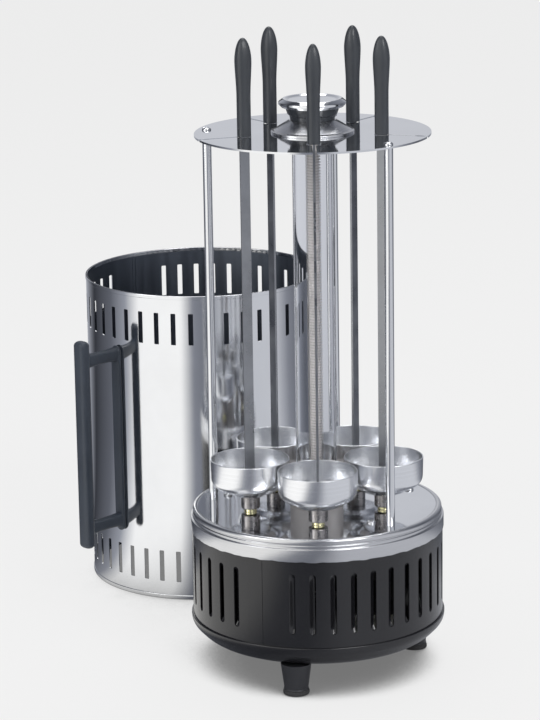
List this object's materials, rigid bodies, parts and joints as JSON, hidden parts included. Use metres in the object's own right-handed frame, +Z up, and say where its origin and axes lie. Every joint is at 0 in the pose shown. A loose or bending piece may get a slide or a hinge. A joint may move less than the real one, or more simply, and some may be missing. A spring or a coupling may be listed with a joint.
{
  "type": "electric skewer grill",
  "caption": "Round electric skewer grill: a slotted base turns upright skewers and drip cups around a heater under a slotted plate, with a slotted tube casing stood behind it.",
  "frame": {"origin": "on the floor, under the middle of the whole object's outline seen from above", "axes": "+Z up, -Y to the front of the grill, +X to its right; the casing stands behind"},
  "size_m": [0.299, 0.4496, 0.5015],
  "materials": {
    "black_enamel": "satin",
    "black_moulding": "matte",
    "foot_rubber": "matte",
    "mirror_steel": "mirror polished",
    "satin_steel": "satin",
    "plated_steel": "zinc plated",
    "bush_brass": "turned",
    "cup_aluminium": "satin",
    "gear_nylon": "matte",
    "heater_ceramic": "matte",
    "quartz": "clear",
    "heating_wire": "oxidised",
    "handle_slate": "moulded",
    "terminal_resin": "moulded"
  },
  "bodies": {
    "base": {"bottom_dish": "black_enamel", "body_shell": "black_enamel", "foot_posts": "black_moulding", "foot_pads": "foot_rubber", "base_screws": "plated_steel", "rim_ring": "satin_steel", "deck_plate": "mirror_steel", "deck_bushes": "bush_brass", "pan_head_screws": "mirror_steel", "gear_plate": "plated_steel", "gear_plate_pillars": "plated_steel", "hub_sleeve": "plated_steel", "motor_can": "plated_steel", "terminal_block": "terminal_resin", "cord_grommet": "foot_rubber", "hex_nuts": "plated_steel", "heater_socket": "heater_ceramic", "heater_base": "heater_ceramic", "quartz_tube": "quartz", "heating_core": "heating_wire", "heater_top_cap": "heater_ceramic", "support_rod_left": "mirror_steel", "support_rod_right": "mirror_steel", "support_rod_rear": "mirror_steel", "top_plate": "mirror_steel", "knob_flange": "satin_steel", "knob_neck": "black_moulding", "knob_cap": "mirror_steel"},
    "drive": {"drive_gear": "gear_nylon"},
    "pinion": {"motor_pinion": "bush_brass"},
    "spindle_1": {"spindle_1": "satin_steel", "spindle_gear_1": "gear_nylon"},
    "cup_1": {"drip_cup_1": "cup_aluminium"},
    "skewer_1": {"skewer_blade_1": "satin_steel", "skewer_handle_1": "handle_slate"},
    "spindle_2": {"spindle_2": "satin_steel", "spindle_gear_2": "gear_nylon"},
    "cup_2": {"drip_cup_2": "cup_aluminium"},
    "skewer_2": {"skewer_blade_2": "satin_steel", "skewer_handle_2": "handle_slate"},
    "spindle_3": {"spindle_3": "satin_steel", "spindle_gear_3": "gear_nylon"},
    "cup_3": {"drip_cup_3": "cup_aluminium"},
    "skewer_3": {"skewer_blade_3": "satin_steel", "skewer_handle_3": "handle_slate"},
    "spindle_4": {"spindle_4": "satin_steel", "spindle_gear_4": "gear_nylon"},
    "cup_4": {"drip_cup_4": "cup_aluminium"},
    "skewer_4": {"skewer_blade_4": "satin_steel", "skewer_handle_4": "handle_slate"},
    "spindle_5": {"spindle_5": "satin_steel", "spindle_gear_5": "gear_nylon"},
    "cup_5": {"drip_cup_5": "cup_aluminium"},
    "skewer_5": {"skewer_blade_5": "satin_steel", "skewer_handle_5": "handle_slate"},
    "casing": {"casing_shell": "mirror_steel", "casing_handle_mount": "handle_slate", "casing_handle_grip": "handle_slate", "casing_screws": "plated_steel"}
  },
  "joints": [
    {"name": "drive_spin", "type": "hinge", "parent": "base", "child": "drive", "pos_m": [0.0489, -0.1242, 0.1139], "axis": [0, 0, 1], "continuous": true},
    {"name": "pinion_spin", "type": "hinge", "parent": "base", "child": "pinion", "pos_m": [0.0489, -0.0742, 0.1139], "axis": [0, 0, 1], "continuous": true},
    {"name": "spindle_1_spin", "type": "hinge", "parent": "base", "child": "spindle_1", "pos_m": [0.0489, -0.1792, 0.1139], "axis": [0, 0, 1], "continuous": true},
    {"name": "spindle_2_spin", "type": "hinge", "parent": "base", "child": "spindle_2", "pos_m": [0.10121, -0.1412, 0.1139], "axis": [0, 0, 1], "continuous": true},
    {"name": "spindle_3_spin", "type": "hinge", "parent": "base", "child": "spindle_3", "pos_m": [0.08123, -0.0797, 0.1139], "axis": [0, 0, 1], "continuous": true},
    {"name": "spindle_4_spin", "type": "hinge", "parent": "base", "child": "spindle_4", "pos_m": [0.01657, -0.0797, 0.1139], "axis": [0, 0, 1], "continuous": true},
    {"name": "spindle_5_spin", "type": "hinge", "parent": "base", "child": "spindle_5", "pos_m": [-0.00341, -0.1412, 0.1139], "axis": [0, 0, 1], "continuous": true},
    {"name": "cup_1_lift", "type": "slide", "parent": "spindle_1", "child": "cup_1", "axis": [0, 0, 1], "range_m": [0, 0.02]},
    {"name": "cup_2_lift", "type": "slide", "parent": "spindle_2", "child": "cup_2", "axis": [0, 0, 1], "range_m": [0, 0.02]},
    {"name": "cup_3_lift", "type": "slide", "parent": "spindle_3", "child": "cup_3", "axis": [0, 0, 1], "range_m": [0, 0.02]},
    {"name": "cup_4_lift", "type": "slide", "parent": "spindle_4", "child": "cup_4", "axis": [0, 0, 1], "range_m": [0, 0.02]},
    {"name": "cup_5_lift", "type": "slide", "parent": "spindle_5", "child": "cup_5", "axis": [0, 0, 1], "range_m": [0, 0.02]},
    {"name": "skewer_1_lift", "type": "slide", "parent": "spindle_1", "child": "skewer_1", "axis": [0, 0, 1], "range_m": [0, 0.3]},
    {"name": "skewer_2_lift", "type": "slide", "parent": "spindle_2", "child": "skewer_2", "axis": [0, 0, 1], "range_m": [0, 0.3]},
    {"name": "skewer_3_lift", "type": "slide", "parent": "spindle_3", "child": "skewer_3", "axis": [0, 0, 1], "range_m": [0, 0.3]},
    {"name": "skewer_4_lift", "type": "slide", "parent": "spindle_4", "child": "skewer_4", "axis": [0, 0, 1], "range_m": [0, 0.3]},
    {"name": "skewer_5_lift", "type": "slide", "parent": "spindle_5", "child": "skewer_5", "axis": [0, 0, 1], "range_m": [0, 0.3]},
    {"name": "casing_lift", "type": "slide", "parent": "base", "child": "casing", "axis": [0, 0, 1], "range_m": [0, 0.51]}
  ],
  "couplings": [
    {"joint": "pinion_spin", "follows": "drive_spin", "ratio": -4},
    {"joint": "spindle_1_spin", "follows": "drive_spin", "ratio": -2.6667},
    {"joint": "spindle_2_spin", "follows": "drive_spin", "ratio": -2.6667},
    {"joint": "spindle_3_spin", "follows": "drive_spin", "ratio": -2.6667},
    {"joint": "spindle_4_spin", "follows": "drive_spin", "ratio": -2.6667},
    {"joint": "spindle_5_spin", "follows": "drive_spin", "ratio": -2.6667}
  ]
}
